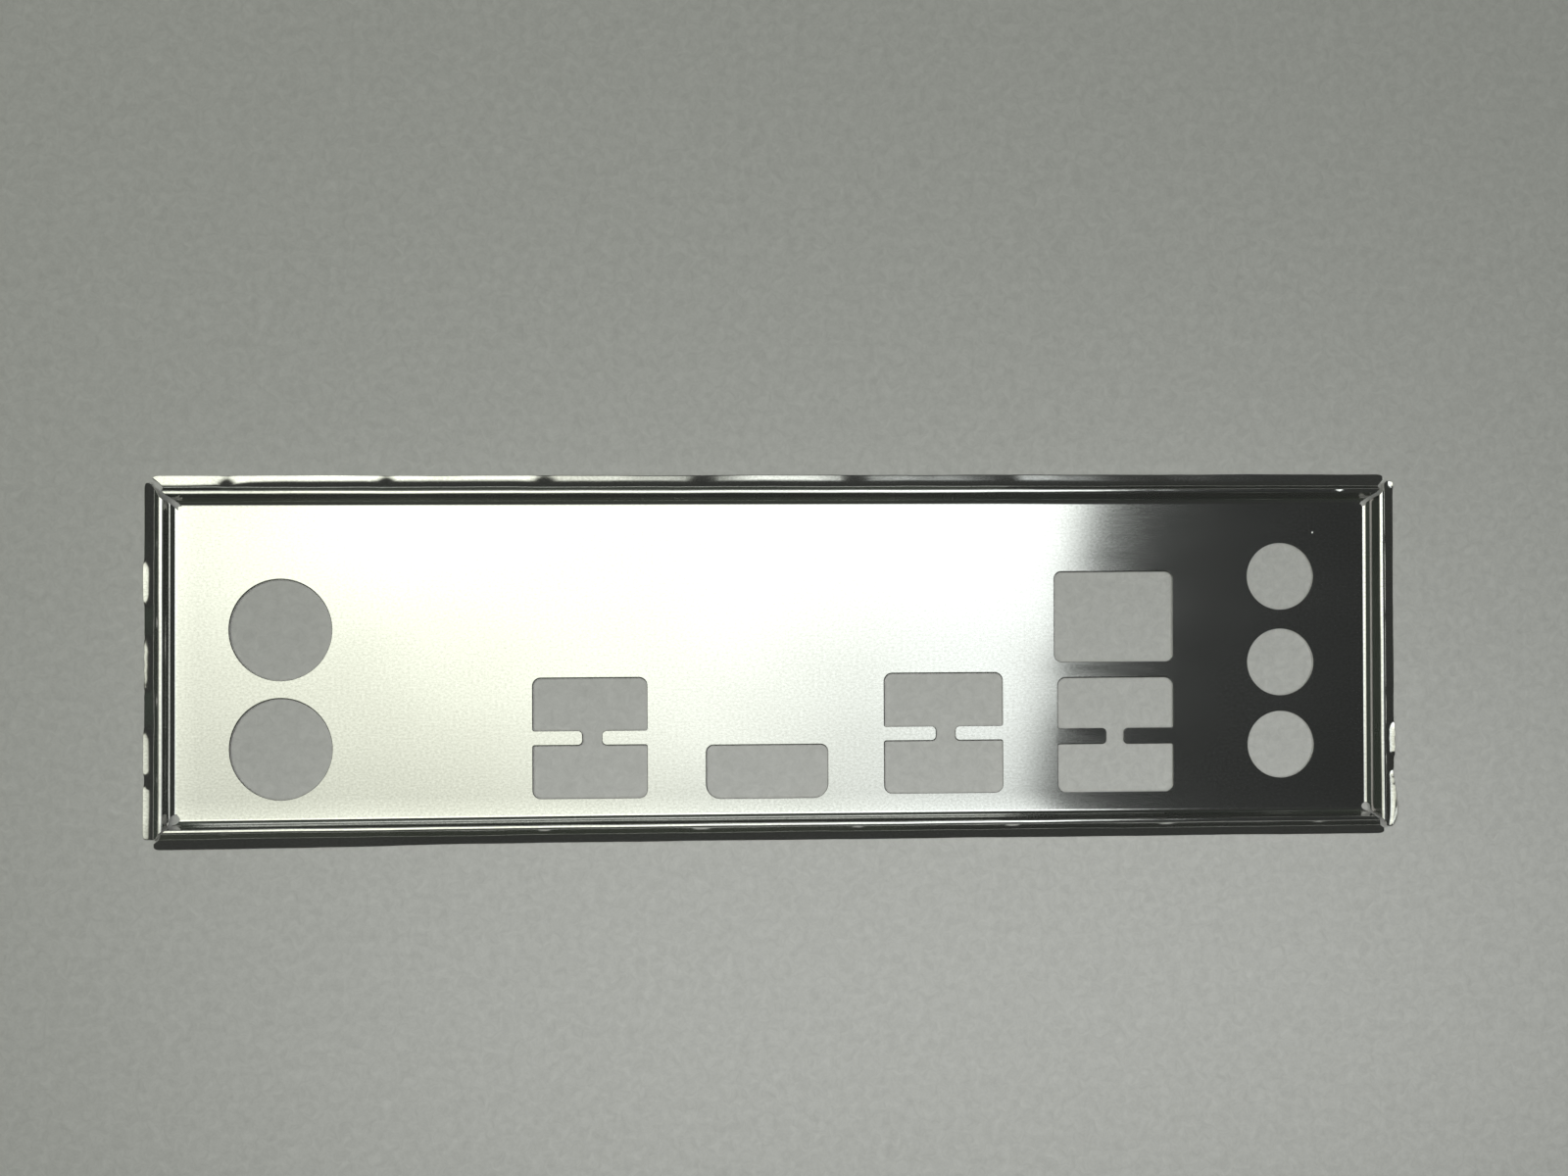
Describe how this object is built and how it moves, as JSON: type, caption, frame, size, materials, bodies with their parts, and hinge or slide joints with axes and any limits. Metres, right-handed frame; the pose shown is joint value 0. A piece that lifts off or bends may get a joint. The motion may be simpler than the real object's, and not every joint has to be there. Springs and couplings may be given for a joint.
{
  "type": "motherboard io shield",
  "caption": "Thin folded steel rear-panel plate for a computer case, with round and rectangular port cut-outs, a raised springy rim with snap dimples and open mitred corners.",
  "frame": {"origin": "middle of the outline, at the surface the rim's lip rests on", "axes": "+X along the long side towards the audio jack holes, +Y across the panel away from the board edge, +Z out of the outside face"},
  "size_m": [0.1618, 0.0472, 0.0029],
  "materials": {
    "sheet": "bright rolled satin"
  },
  "bodies": {
    "root": {"io_shield": "sheet"}
  },
  "joints": []
}
